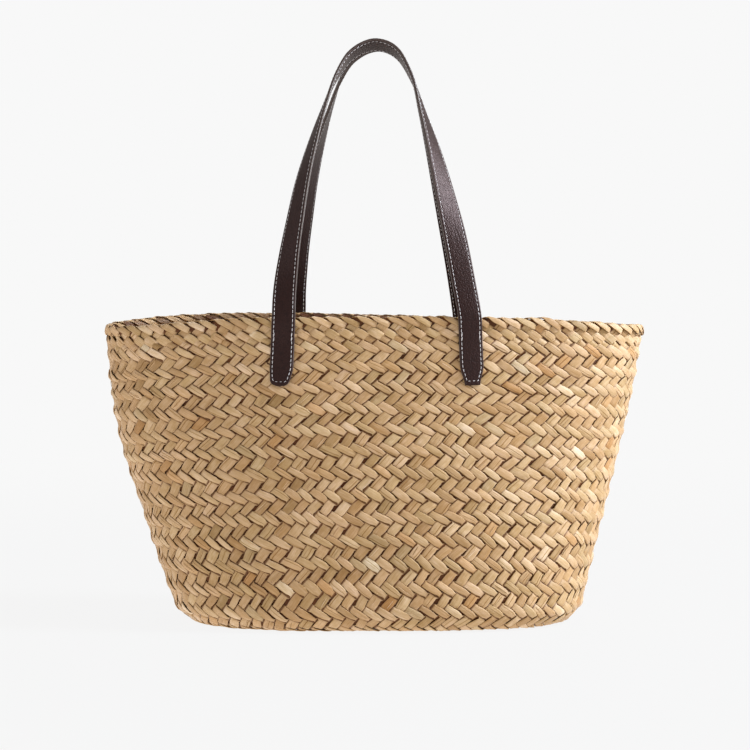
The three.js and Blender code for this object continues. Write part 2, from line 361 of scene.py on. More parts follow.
def smooth_line(knots, points, wanted):
    """A smooth line through the points, read at the wanted places."""
    slopes = np.gradient(points, knots, axis=0)
    index = np.clip(np.searchsorted(knots, wanted, side="right") - 1, 0, len(knots) - 2)
    span = (knots[index + 1] - knots[index])[:, None]
    share = (wanted[:, None] - knots[index][:, None]) / span
    square = share * share
    cube = square * share
    return ((2 * cube - 3 * square + 1) * points[index]
            + (cube - 2 * square + share) * span * slopes[index]
            + (3 * square - 2 * cube) * points[index + 1]
            + (cube - square) * span * slopes[index + 1])


def unit(vectors):
    return vectors / np.linalg.norm(vectors, axis=-1)[..., None]


def lengths_along(points):
    steps = np.linalg.norm(np.diff(points, axis=0), axis=1)
    return np.concatenate(((0.0,), np.cumsum(steps)))


def in_order(ring):
    """The ring's points anticlockwise from the right end."""
    middle = ring.mean(axis=0)
    turns = np.arctan2(ring[:, 1] - middle[1], ring[:, 0] - middle[0])
    ring = ring[np.argsort(turns)]
    return np.roll(ring, -int(np.argmax(ring[:, 0])), axis=0)


class WallSurface:
    """The basket's outer surface, read by rise along the wall and by turn round it.

    Rise is 0 at the flat floor's edge and 1 at the wall's top. Turn is 0 at the right end, 0.25
    at the back, 0.5 at the left end and 0.75 at the front.
    """
    ROWS = 150
    COLUMNS = 480

    def __init__(self):
        rings = cad_rings("basket_body", 2)
        top = max(ring[:, 2].max() for ring in rings)
        last = next(i for i, ring in enumerate(rings) if ring[:, 2].max() > top - 0.0001)
        rings = [in_order(ring) for ring in rings[:last + 1]]
        edge = rings[1]
        rings[0] = edge + unit(rings[0] - edge) * UNDER_REACH
        rings.append(rings[-1] + unit(rings[-1] - rings[-2]) * RIM_REACH)
        self.lowest = -UNDER_REACH / WALL_LENGTH
        self.highest = 1 + RIM_REACH / WALL_LENGTH
        self.points = self.dense_points(np.array(rings))
        self.normals = self.dense_normals()
        self.floor_outline = edge

    def dense_points(self, rings):
        rises = np.linspace(self.lowest, self.highest, self.ROWS)
        columns = []
        for column in range(rings.shape[1]):
            line = rings[:, column]
            lengths = lengths_along(line)
            knots = (lengths - lengths[1]) / (lengths[-2] - lengths[1])
            knots[0] = self.lowest
            knots[-1] = self.highest
            columns.append(smooth_line(knots, line, rises))
        rows = np.array(columns).transpose(1, 0, 2)
        rows[..., 2] = np.maximum(rows[..., 2], 0.0)
        return np.array([self.even_row(row) for row in rows])

    def even_row(self, row):
        """The row's points at even steps round each quarter."""
        count = len(row)
        padded = np.concatenate((row[-3:], row, row[:4]))
        knots = np.arange(-3, count + 4, dtype=float)
        fine = smooth_line(knots, padded, np.linspace(0, count, self.COLUMNS * 2 + 1))
        quarter = self.COLUMNS // 2
        even = []
        for part in range(4):
            piece = fine[part * quarter:(part + 1) * quarter + 1]
            lengths = lengths_along(piece)
            wanted = np.linspace(0, lengths[-1], self.COLUMNS // 4 + 1)[:-1]
            even.append(np.stack([np.interp(wanted, lengths, piece[:, k]) for k in range(3)], axis=1))
        return np.concatenate(even)

    def dense_normals(self):
        round_way = np.roll(self.points, -1, axis=1) - np.roll(self.points, 1, axis=1)
        up_way = np.gradient(self.points, axis=0)
        return unit(np.cross(round_way, up_way))

    def read(self, grid, rise, turn):
        """The grid's values at any rise and turn."""
        row = (rise - self.lowest) / (self.highest - self.lowest) * (self.ROWS - 1)
        row = np.clip(row, 0, self.ROWS - 1.001)
        column = np.mod(turn, 1.0) * self.COLUMNS
        row_index = row.astype(int)
        column_index = column.astype(int)
        row_share = (row - row_index)[..., None]
        column_share = (column - column_index)[..., None]
        column_index = column_index % self.COLUMNS
        beside = (column_index + 1) % self.COLUMNS
        low = (grid[row_index, column_index] * (1 - column_share)
               + grid[row_index, beside] * column_share)
        high = (grid[row_index + 1, column_index] * (1 - column_share)
                + grid[row_index + 1, beside] * column_share)
        return low * (1 - row_share) + high * row_share

    def at(self, rise, turn):
        return self.read(self.points, rise, turn), unit(self.read(self.normals, rise, turn))


def rise_of(level):
    """How far up the wall a level of crossings lies. The rows are lower near the rim."""
    rows = level - 0.5
    length = TOP_ROW_RISE + LEVEL_RISE * rows - LEVEL_SHRINK * rows * rows
    return (length + RIM_LEVEL_EXTRA * np.maximum(rows, 0)) / WALL_LENGTH


def falling_is_over(level):
    """Whether the falling strips lie on top at a level: two over, two under, single at the rim."""
    if level <= 1:
        return level % 4 in (0, 1)
    return level == 3


def weave_wave(levels):
    """Height of a falling strip along its levels, 1 on top and -1 beneath."""
    below = np.floor(levels).astype(int)
    lower = np.array([1.0 if falling_is_over(k) else -1.0 for k in below])
    upper = np.array([1.0 if falling_is_over(k + 1) else -1.0 for k in below])
    wave = lower + (upper - lower) * ease((levels - below - 0.2) / 0.6)
    return np.maximum(wave, 1 - 2 * ease((np.abs(levels - OVAL_LEVEL) - 0.55) / 0.4))


def end_narrowing(levels, falling):
    """A strip narrows at the ends of its floats, a falling one most at its lower end."""
    width = np.ones(len(levels))
    lower_share = LOWER_END_NARROWING if falling else OTHER_END_NARROWING
    for below in range(LOWEST_LEVEL - 1, 2):
        past = levels - below - 0.5
        starts = falling_is_over(below + 1) == falling and falling_is_over(below) != falling
        ends = falling_is_over(below) == falling and falling_is_over(below + 1) != falling
        if starts:
            width -= lower_share * (1 - ease(past / NARROWING_REACH)) * (past >= 0) * (past < 2)
        if ends:
            width -= OTHER_END_NARROWING * (1 - ease(-past / NARROWING_REACH)) * (past <= 0) * (past > -2)
    return width


def float_bulge(levels):
    """A strip stands highest at the middle of the two crossings that it passes over."""
    return np.cos(np.pi * (levels - 0.5) / 2) ** 2


def along_floats(values, levels):
    """One value for each two levels of a strip, changing where the strip dives."""
    place = (levels - 0.5 - LOWEST_LEVEL) / 2 + 1
    index = np.floor(place).astype(int)
    share = ease((place - index - 0.35) / 0.3)
    return values[:, index] * (1 - share) + values[:, index + 1] * share


def of_nearest_float(values, levels, is_over):
    """One value for each two levels of a strip, held to both ends of the floats on top."""
    offset = 0 if is_over else 1
    index = np.rint((levels - 0.5) / 2 - offset).astype(int) + offset
    return values[:, index - index.min()]


def unevenness(random):
    """Slow waves that push the crossings a little up or down and along."""
    waves = []
    for turns in UNEVEN_TURNS:
        slant = random.uniform(-0.5, 0.5)
        waves.append((turns, slant, random.uniform(0, 6.28), random.uniform(0, 6.28)))
    return waves


def uneven(waves, place, level):
    """How far a crossing is pushed, in pitches and in levels."""
    along = np.zeros_like(place)
    up = np.zeros_like(place)
    for turns, slant, first, second in waves:
        angle = 2 * math.pi * turns * place / STRIPS_ROUND + slant * level
        along += np.sin(angle + first)
        up += np.sin(angle + second)
    return along * UNEVEN_PITCHES, up * UNEVEN_LEVELS


def strip_looks(random):
    """Random tone, width, tilt and split for every float of every strip."""
    every = (STRIPS_ROUND, (HIGHEST_LEVEL - LOWEST_LEVEL) // 2 + 4)
    strand_tone = random.normal(0, 0.55, (STRIPS_ROUND, 1))
    drift = np.cumsum(random.normal(0, 0.35, every), axis=1)
    drift -= drift.mean(axis=1, keepdims=True)
    tone = 0.15 * (strand_tone + 0.5 * drift + random.normal(0, 0.9, every))
    return {
        "tone": tone,
        "hue": random.uniform(0, 1, every),
        "width": np.clip(random.normal(0.975, 0.07, every), 0.74, 1.08),
        "tilt": random.normal(0, 0.00025, every),
        "lift": random.normal(0, 0.00018, every),
        "shift": random.normal(0, 0.045, every),
        "turn": random.normal(0, 0.05, every),
        "split": random.uniform(0, 1, every),
    }


def tube_mesh(name, rings, values):
    """One mesh of many closed tubes, from strips x stations x points round x 3."""
    strips, stations, around = rings.shape[:3]
    number = np.arange(strips * stations * around).reshape(strips, stations, around)
    beside = np.roll(number, -1, axis=2)
    sides = np.stack((number[:, :-1], beside[:, :-1], beside[:, 1:], number[:, 1:]), axis=-1)
    faces = sides.reshape(-1, 4).tolist()
    faces += number[:, 0, ::-1].tolist()
    faces += number[:, -1].tolist()
    mesh = bpy.data.meshes.new(name)
    mesh.from_pydata(rings.reshape(-1, 3).tolist(), [], faces)
    mesh.polygons.foreach_set("use_smooth", [True] * len(mesh.polygons))
    for key, value in values.items():
        spread = np.broadcast_to(value, rings.shape[:3])
        layer = mesh.attributes.new(key, "FLOAT", "POINT")
        layer.data.foreach_set("value", np.ascontiguousarray(spread, dtype=np.float32).ravel())
    mesh.update()
    piece = bpy.data.objects.new(name, mesh)
    bpy.context.collection.objects.link(piece)
    return piece


def place_piece(piece, node, slot, *materials):
    for material in materials:
        piece.data.materials.append(material)
    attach(piece, "root")
    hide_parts(node)


def on_wall(wall, waves, falling, number, level, side, height):
    """Points on the wall's strips, from strip number, level, place across and height.

    With each level a falling strip moves back by its share of a pitch, a rising one forward.
    """
    if falling:
        crossing = level + side
        place = number - FALLING_SHARE * level + RISING_SHARE * side
    else:
        crossing = level - side
        place = number + RISING_SHARE * level + FALLING_SHARE * side
    push_along, push_up = uneven(waves, place, crossing)
    rise = rise_of(crossing + push_up * ease((1.5 - crossing) / 4))
    point, normal = wall.at(rise, (place + push_along) / STRIPS_ROUND)
    turned_up = ease((rise + 0.02) / 0.10)
    middle = UNDER_MIDDLE + (WALL_MIDDLE - UNDER_MIDDLE) * turned_up
    relief = ROW_RELIEF * np.cos(math.pi / 2 * (crossing - 0.5))
    relief = relief * turned_up * ease(2.2 - crossing)
    return point + normal * (middle + relief + height)[..., None]


def strip_levels():
    """The levels where a wall strip's outline is drawn, closest together where it comes up."""
    levels = (np.arange(LOWEST_LEVEL + 2, HIGHEST_LEVEL, 2)[:, None] + LEVEL_STEPS).ravel()
    return np.append(levels, (5.5, STRIP_TOP))


def oval_share(levels, falling):
    """How much a falling strip forms its single oval float under the rim, from 0 to 1."""
    return ease(1 - np.abs(levels - OVAL_LEVEL) / 0.9) * falling


def is_beneath(wave):
    return wave < 0.15


def strip_widths(width, levels, wave, falling):
    """Half widths in pitches. A strip narrows at its floats' ends and spreads where it is hidden."""
    half = FALLING_HALF if falling else RISING_HALF
    narrowing = end_narrowing(levels, falling)
    width = width * narrowing
    width = np.where(is_beneath(wave), np.maximum(width, UNDER_HALF / half), width)
    width = width * (1 + OVAL_WIDENING * oval_share(levels, falling))
    if not falling:
        width = np.maximum(width, np.where(levels > 3.5, 1.12, 0.86 * narrowing))
    return half * width


def strip_heights(read, levels, wave, falling):
    """Heights of the points of the strips' outlines, from the wall's middle."""
    across = SECTION_ACROSS[None, None, :]
    tucked = ease((levels - 3.4) / 0.5) * TUCKED_DEPTH
    raised = WEAVE_HEIGHT * wave + OVAL_RISE * oval_share(levels, falling) - tucked
    bulge = FLOAT_BULGE * float_bulge(levels) * np.sign(wave)
    tilt = read["tilt"][:, :, None] + (FALLING_TILT if falling else 0.0)
    return ((raised + bulge)[None, :, None] + (read["lift"] * wave)[:, :, None] + tilt * across
            + STRIP_THICKNESS * SECTION_HEIGHT - STRIP_CROWN * across ** 2)


def end_share(place):
    """How near a place is to the basket's left or right end, from 0 to 1."""
    return ease((np.abs(np.cos(2 * math.pi * place / STRIPS_ROUND)) - 0.80) / 0.18)


def past_middle(levels):
    """Levels past the middle of a float, eased back to 0 where the strip dives."""
    past = (levels + 0.5) % 2 - 1
    return past * (1 - ease((np.abs(past) - 0.75) / 0.25))


def strip_shades(levels, wave, at_end, falling):
    """A strip's depth for its painted shade, darker where it dives, and how far its painted dark edge
    lines reach in.
    """
    diving = ease(1 - np.abs(wave) / 0.4)[None, :, None] * (1 - DIVE_FADING * at_end)
    depth = np.where(levels > PAINTED_SHADE_LEVEL, -1.0, wave)[None, :, None] - DIVE_DARKENING * diving
    past_tip = (levels + (0.5 if falling else 2.5)) % 4
    near_tip = ease(1 - past_tip / TIP_REACH)[None, :, None]
    edge_shade_reach = (1.0 if falling else RISING_EDGE) - at_end * (EDGE_FADING - TIP_EDGE * near_tip)
    return depth, edge_shade_reach


def wall_strips(wall, random, waves, family, material):
    """The falling or the rising strips of the wall, in two meshes."""
    falling = family == "falling"
    levels = strip_levels()
    wave = weave_wave(levels) * (1 if falling else -1)
    looks = strip_looks(random)
    read = {key: along_floats(value, levels) for key, value in looks.items()}
    for key in ("split", "hue"):
        read[key] = of_nearest_float(looks[key], levels, falling)
    read["tone"] = np.clip(read["tone"] + (FALLING_TONE if falling else RISING_TONE), 0, 1)
    number = np.arange(STRIPS_ROUND)[:, None, None]
    level = levels[None, :, None]
    place = number - FALLING_SHARE * level if falling else number + RISING_SHARE * level
    at_end = end_share(place)

    shift = read["shift"] + read["turn"] * past_middle(levels)
    shift = shift * np.where(is_beneath(wave), UNDER_SHIFT, 1.0)
    half = strip_widths(read["width"], levels, wave, falling)[:, :, None] * (1 + END_WIDENING * at_end)
    side = SECTION_ACROSS * half + shift[:, :, None]
    height = strip_heights(read, levels, wave, falling)
    rings = on_wall(wall, waves, falling, number, level, side, height)

    # Painted shade for the shader: darker where a strip lies deep, dives or hides under the rim, and dark
    # lines along its edges
    depth, edge_shade_reach = strip_shades(levels, wave, at_end, falling)
    values = {
        "tone": read["tone"][:, :, None],
        "hue": read["hue"][:, :, None],
        "split": read["split"][:, :, None],
        # height carries the painted depth shade, across also how far the painted dark edge lines reach
        "height": depth * OUTER_FACE,
        "across": SECTION_ACROSS * edge_shade_reach,
        "along": level * LEVEL_LENGTH,
        "strand": number,
    }
    values = {key: np.broadcast_to(value, rings.shape[:3]) for key, value in values.items()}
    middle = STRIPS_ROUND // 2
    for part, chosen in enumerate((slice(0, middle), slice(middle, STRIPS_ROUND)), start=1):
        chosen_values = {key: value[chosen] for key, value in values.items()}
        piece = tube_mesh(f"{family}_strips_{part}", rings[chosen], chosen_values)
        place_piece(piece, "basket_body", "straw_weave", material)


def loose_fibres(wall, random, waves, material):
    """Thin split fibres that lie along some of the strips."""
    share = np.linspace(-1, 1, 7)
    across = np.array([-1.0, -0.5, 0.5, 1.0, 0.5, -0.5])
    section = np.array([0.0, 1.0, 1.0, 0.0, -1.0, -1.0])
    rings = []
    tones = []
    for falling, count in ((True, FALLING_FIBRES), (False, RISING_FIBRES)):
        number = random.integers(0, STRIPS_ROUND, (count, 1, 1))
        start = random.integers(-12, 1, (count, 1, 1)) * 4 + (0.5 if falling else -1.5)
        level = start + share[None, :, None] * random.uniform(0.7, 0.85, (count, 1, 1))
        middle = random.uniform(-0.38, 0.38, (count, 1, 1))
        lean = random.normal(0, 0.04, (count, 1, 1))
        thin = 1 - 0.6 * share[None, :, None] ** 4
        width = random.uniform(0.02, 0.055, (count, 1, 1)) * thin
        side = middle + lean * share[None, :, None] + across * width
        bow = 1 - share[None, :, None] ** 4
        height = WEAVE_HEIGHT + STRIP_THICKNESS / 2 - 0.0002 + 0.0005 * bow + 0.0002 * section * thin
        rings.append(on_wall(wall, waves, falling, number, level, side, height))
        tones.append(random.uniform(0.05, 1.0, (count, 1, 1)))
    rings = np.concatenate(rings)
    values = {
        "tone": np.concatenate(tones),
        "hue": random.uniform(0, 1, (len(rings), 1, 1)),
        "split": 0.0,
        "height": 1.0,
        "across": across * 0.8,
        "along": share[None, :, None] * 0.008,
        "strand": np.arange(len(rings))[:, None, None] + 900.0,
    }
    piece = tube_mesh("loose_fibres", rings, values)
    place_piece(piece, "basket_body", "straw_weave", material)


def fold_lines(wall, place, path, lift):
    """The folds' middle lines in space, with the wall's level outward directions."""
    turn = place / STRIPS_ROUND
    top, normal = wall.at(np.full(place.shape, wall.highest), turn)
    normal[..., 2] = 0
    normal = unit(normal)
    swell = RIM_SWELL * np.exp(-((turn - SWELL_TURN) / SWELL_REACH) ** 2)
    swell = swell * (1 + path[None, :, 1] / FOLD_DROP)
    in_front = ease(1.6 - np.abs(turn - 0.75) / 0.14)
    over_top = np.exp(-((path[None, :, 0] - 0.74) / 0.30) ** 2)
    humped = lift * np.sin(np.linspace(0, math.pi, FOLD_STATIONS))[None, :]
    out = (path[None, :, 2] + 0.4 * humped) * 0.001
    up = (path[None, :, 1] + humped) * 0.001 + swell + FOLD_RISE * in_front * over_top
    return top + normal * out[..., None] + UPRIGHT * up[..., None], normal


def rim_folds(wall, random, material):
    """The strip ends folded over the rim."""
    path = np.array(FOLD_PATH)
    lengths = lengths_along(path[:, :3] * (FOLD_PITCH, 1.0, 1.0))
    wanted = np.linspace(0, lengths[-1], FOLD_STATIONS)
    path = smooth_line(lengths, path, wanted)
    every = (STRIPS_ROUND, 1)
    number = np.arange(STRIPS_ROUND)[:, None]
    slide = random.normal(0, 0.05, every)
    stretch = random.uniform(0.92, 1.08, every)
    lift = random.normal(0, 0.5, every)
    place = number + slide + path[None, :, 0] * stretch
    centre, normal = fold_lines(wall, place, path, lift)

    facing_turn = np.radians(path[:, 4])[None, :, None]
    forward = unit(np.gradient(centre, axis=1))
    sideways = unit(np.cross(forward, normal * np.cos(facing_turn) + UPRIGHT * np.sin(facing_turn)))
    facing = np.cross(sideways, forward)
    width = path[None, :, 3, None] * 0.001 * random.uniform(0.9, 1.1, (*every, 1))
    across = SECTION_ACROSS[None, None, :]
    outside = np.cos(facing_turn) > 0.5
    curl = FOLD_TILT * across * outside - FOLD_CURL * across ** 2
    height = STRIP_THICKNESS * SECTION_HEIGHT + curl
    rings = (centre[:, :, None]
             + sideways[:, :, None] * (across * width)[..., None]
             + facing[:, :, None] * height[..., None])

    tone = np.clip(random.normal(0.60, 0.16, (*every, 1)), 0, 1)
    # Painted shade: the folds' inner faces are painted darker, most at the back, with a painted dark
    # groove down their middle; their undersides are painted dark
    inner = path[None, :, 4, None] > 110
    at_back = ease(1.6 - np.abs(place / STRIPS_ROUND - 0.25) / 0.10)[..., None]
    face = np.where(inner, random.uniform(-0.8, 0.3, (*every, 1)) - 0.7 * at_back, 0.8)
    values = {
        "tone": tone,
        "hue": random.uniform(0, 1, (*every, 1)),
        "split": np.where(inner, 0.86, random.uniform(0, 0.6, (*every, 1))),
        "height": np.where(SECTION_HEIGHT < -0.4, -1.0, face),
        # Turned over so that the painted dark edge line falls on each fold's lower-left edge
        "across": -across,
        "along": wanted[None, :, None] * 0.001,
        "strand": number[:, :, None] + 300,
    }
    piece = tube_mesh("rim_folds", rings, values)
    place_piece(piece, "rim_braid", "straw_braid", material)


def inside_span(outline, origin, direction):
    """Where a line enters and leaves the floor's outline, or nothing."""
    following = np.roll(outline, -1, axis=0)
    edge = following - outline
    cross = direction[0] * edge[:, 1] - direction[1] * edge[:, 0]
    gap = outline - origin
    along = (gap[:, 0] * edge[:, 1] - gap[:, 1] * edge[:, 0]) / cross
    share = (gap[:, 0] * direction[1] - gap[:, 1] * direction[0]) / cross
    hits = along[(share >= 0) & (share < 1)]
    if len(hits) < 2:
        return None
    return hits.min(), hits.max()


def floor_strips(wall, random, material):
    """The twill of the basket's flat floor, in two meshes."""
    outline = wall.floor_outline[:, :2]
    middle = outline.mean(axis=0)
    radius = np.linalg.norm(outline - middle, axis=1)[:, None]
    outline = middle + (outline - middle) * (1 - FLOOR_INSET / radius)
    first_way = np.array((math.cos(FLOOR_SLANT), math.sin(FLOOR_SLANT)))
    second_way = np.array((-math.sin(FLOOR_SLANT), math.cos(FLOOR_SLANT)))
    families = (("first", first_way, second_way), ("second", second_way, -first_way))
    for family, along_way, across_way in families:
        strips = []
        for number in range(-FLOOR_STRIPS, FLOOR_STRIPS + 1):
            origin = middle + across_way * number * FLOOR_PITCH
            span = inside_span(outline, origin, along_way)
            if span:
                strips.append(floor_strip(random, family, number, origin, along_way, across_way, span))
        join_strips(f"floor_{family}_strips", strips, material)


def floor_strip(random, family, number, origin, along_way, across_way, span):
    """One strip of the floor: its rings of points and the values for its looks."""
    stations = int((span[1] - span[0]) / FLOOR_PITCH * 4) + 2
    along = np.linspace(span[0], span[1], stations)
    crossing = along / FLOOR_PITCH
    other = np.floor(crossing).astype(int)
    sign = 1 if family == "first" else -1
    lower = np.array([1.0 if (number - k * sign) % 4 in (0, 1) else -1.0 for k in other])
    upper = np.array([1.0 if (number - (k + 1) * sign) % 4 in (0, 1) else -1.0 for k in other])
    wave = (lower + (upper - lower) * ease((crossing - other - 0.2) / 0.6)) * sign
    half = FLOOR_PITCH * random.uniform(0.49, 0.53)
    across = SECTION_ACROSS[None, :]
    flat = origin + along_way * along[:, None, None] - across_way * (across * half)[..., None]
    to_end = np.minimum(along - span[0], span[1] - along)
    middle = FLOOR_HEIGHT + FLOOR_END_RISE * ease(1 - to_end / FLOOR_END_REACH)
    height = middle[:, None] - (FLOOR_WEAVE * wave[:, None] + STRIP_THICKNESS * SECTION_HEIGHT[None, :])
    rings = np.concatenate((flat, height[..., None]), axis=-1)[None]
    tone = float(np.clip(random.normal(0.5, 0.16), 0, 1))
    values = {
        "tone": tone,
        "hue": random.uniform(0, 1),
        "split": random.uniform(0, 1),
        # The height value carries the painted depth shade: the floor's strips are painted darker where
        # they lie beneath
        "height": wave[None, :, None] * OUTER_FACE,
        "across": across[None],
        "along": along[None, :, None],
        "strand": number + (500 if family == "first" else 700),
    }
    return rings, values


def join_strips(name, strips, material):
    """Strips of different lengths made into one object."""
    pieces = [tube_mesh(name, rings, values) for rings, values in strips]
    with bpy.context.temp_override(active_object=pieces[0], selected_editable_objects=pieces):
        bpy.ops.object.join()
    place_piece(pieces[0], "basket_body", "straw_weave", material)


class StrapLine:
    """A strap's middle line with its width and thickness directions, read by length."""

    def __init__(self, node):
        rings = cad_rings(node, 0)
        rings = [ring for ring in rings if len(ring) == 8]
        centres = np.array([ring.mean(axis=0) for ring in rings])
        wide = []
        thick = []
        for ring, centre in zip(rings, centres):
            axes = np.linalg.svd(ring - centre)[2]
            wide.append(axes[0])
            thick.append(axes[1])
        self.lengths = lengths_along(centres)
        self.total = self.lengths[-1]
        forward = np.gradient(centres, axis=0)
        self.centres = centres
        self.thick = self.steady(np.array(thick))
        self.wide = unit(np.cross(forward, self.thick))

    def steady(self, ways):
        """Directions turned so that neighbours agree and the first one points outwards."""
        for index in range(1, len(ways)):
            if np.dot(ways[index], ways[index - 1]) < 0:
                ways[index] = -ways[index]
        return ways * np.sign(ways[0][1] * self.centres[0][1])

    def at(self, length):
        length = np.asarray(length, dtype=float)
        flat = length.ravel()
        centre = smooth_line(self.lengths, self.centres, flat)
        wide = smooth_line(self.lengths, self.wide, flat)
        thick = smooth_line(self.lengths, self.thick, flat)
        wide = unit(wide)
        thick = unit(thick - wide * np.sum(wide * thick, axis=1)[:, None])
        shape = length.shape + (3,)
        return centre.reshape(shape), wide.reshape(shape), thick.reshape(shape)


def strap_half(length, total):
    """Half the strap's width: a rounded left end and a tapered right end."""
    half = np.full(np.shape(length), STRAP_WIDTH / 2)
    gap = np.clip(1 - length / ROUND_END, 0, 1)
    half = half * (1 - gap ** 2.5) ** (1 / 2.5)
    taper = ease(length / ROUND_TAPER)
    half = half * (ROUND_WIDTH + (STRAP_WIDTH - ROUND_WIDTH) * taper) / STRAP_WIDTH
    taper = ease((total - length) / TAPERED_END)
    return half * (TAPERED_WIDTH + (STRAP_WIDTH - TAPERED_WIDTH) * taper) / STRAP_WIDTH


def strap_shift(length):
    """The rounded end leans a little to one side."""
    return -END_SHIFT * (1 - ease(length / ROUND_TAPER))


def strap_section(half):
    """Places across and heights of the strap's outline, from its half width."""
    scale = half / (STRAP_WIDTH / 2)
    side = half[:, None] - EDGE_STEPS[None, :] * scale[:, None]
    height = np.broadcast_to(EDGE_HEIGHTS, side.shape)
    middle = np.zeros((len(half), 1))
    crown = np.full((len(half), 1), STRAP_CROWN)
    upper_across = np.concatenate((-side, middle, side[:, ::-1]), axis=1)
    upper_height = np.concatenate((height, crown, height[:, ::-1]), axis=1)
    across = np.concatenate((upper_across, -upper_across[:, 1:-1]), axis=1)
    height = np.concatenate((upper_height, -upper_height[:, 1:-1]), axis=1)
    return across, height


def strap(node, leather, paint):
    """One strap's leather, thinner at its very ends, with painted cut edges."""
    line = StrapLine(node)
    steps = np.linspace(0, 1, 26)[1:] ** 1.7 * STRAP_END
    start = np.concatenate(((0.00002,), steps))
    end = line.total - (np.linspace(0, 1, 14) ** 1.5 * STRAP_END)[::-1]
    body = np.linspace(start[-1], end[0], 330)[1:-1]
    lengths = np.concatenate((start, body, end))
    half = strap_half(lengths, line.total)
    across, height = strap_section(half)
    across = across + strap_shift(lengths)[:, None]
    edge_scale = np.clip(np.minimum(lengths, line.total - lengths) / THIN_END, 0.25, 1.0)
    height = height * edge_scale[:, None]
    centre, wide, thick = line.at(lengths)
    rings = centre[:, None] + wide[:, None] * across[..., None] + thick[:, None] * height[..., None]
    piece = tube_mesh(f"{node}_leather", rings[None], {})
    around = rings.shape[1]
    stations = len(lengths)
    marks = np.zeros((stations - 1, around), dtype=np.int32)
    edge_faces = np.count_nonzero(EDGE_STEPS < PAINTED_EDGE)
    for step in range(edge_faces):
        marks[:, (step, around // 2 - 1 - step, around // 2 + step, around - 1 - step)] = 1
    place_piece(piece, node, "strap_leather", leather, paint)
    piece.data.polygons.foreach_set("material_index", np.concatenate((marks.ravel(), (1, 1))))
    return line


def stitch_route(line):
    """The sewn line inside the strap's outline, as lengths and places across."""
    lengths = np.linspace(STITCH_END_INSET, line.total - STITCH_END_INSET, 1200)
    half = strap_half(lengths, line.total) - STITCH_INSET
    corner = np.clip(1 - (lengths - STITCH_END_INSET) / 0.003, 0, 1)
    half = half * (1 - 0.25 * corner ** 2)
    shift = strap_shift(lengths)
    lower = np.stack((lengths, shift - half), axis=1)
    upper = np.stack((lengths, shift + half), axis=1)[::-1]
    return np.concatenate((upper, lower, upper[:1]))


def stitches(node, line, material):
    """Short stitches along both edges, on both faces."""
    route = stitch_route(line)
    measure = lengths_along(route)
    count = int(measure[-1] / STITCH_SPACING)
    starts = np.linspace(0, measure[-1], count, endpoint=False)
    share = np.linspace(-0.5, 0.5, 6)
    reach = starts[:, None] + STITCH_SPACING / 2 + share[None, :] * STITCH_LENGTH
    along = np.interp(reach, measure, route[:, 0])
    across = np.interp(reach, measure, route[:, 1])
    for place in BACK_STITCHES:
        for length in (place, line.total - place):
            for side in (-1, 1):
                beside = side * (STRAP_WIDTH / 2 - STITCH_INSET - 0.00045)
                along = np.vstack((along, length + share * STITCH_LENGTH * 1.3))
                across = np.vstack((across, np.full(6, beside)))
    turns = np.linspace(0, 2 * math.pi, 7)[:-1]
    arch = np.cos(share * math.pi * 0.96)
    rows = []
    for face in (1, -1):
        centre, wide, thick = line.at(along)
        middle = (centre + wide * across[..., None]
                  + thick * (face * (STITCH_HEIGHT + STITCH_ARCH * arch[None, :])[..., None]))
        forward = unit(np.gradient(middle, axis=1))
        sideways = unit(np.cross(forward, thick))
        radius = STITCH_RADIUS * (0.55 + 0.45 * arch)[None, :, None]
        ring = (middle[:, :, None]
                + sideways[:, :, None] * (np.cos(turns) * radius)[..., None]
                + thick[:, :, None] * (np.sin(turns) * radius)[..., None])
        rows.append(ring)
    piece = tube_mesh(f"{node}_stitches", np.concatenate(rows), {})
    place_piece(piece, node, "strap_leather", material)


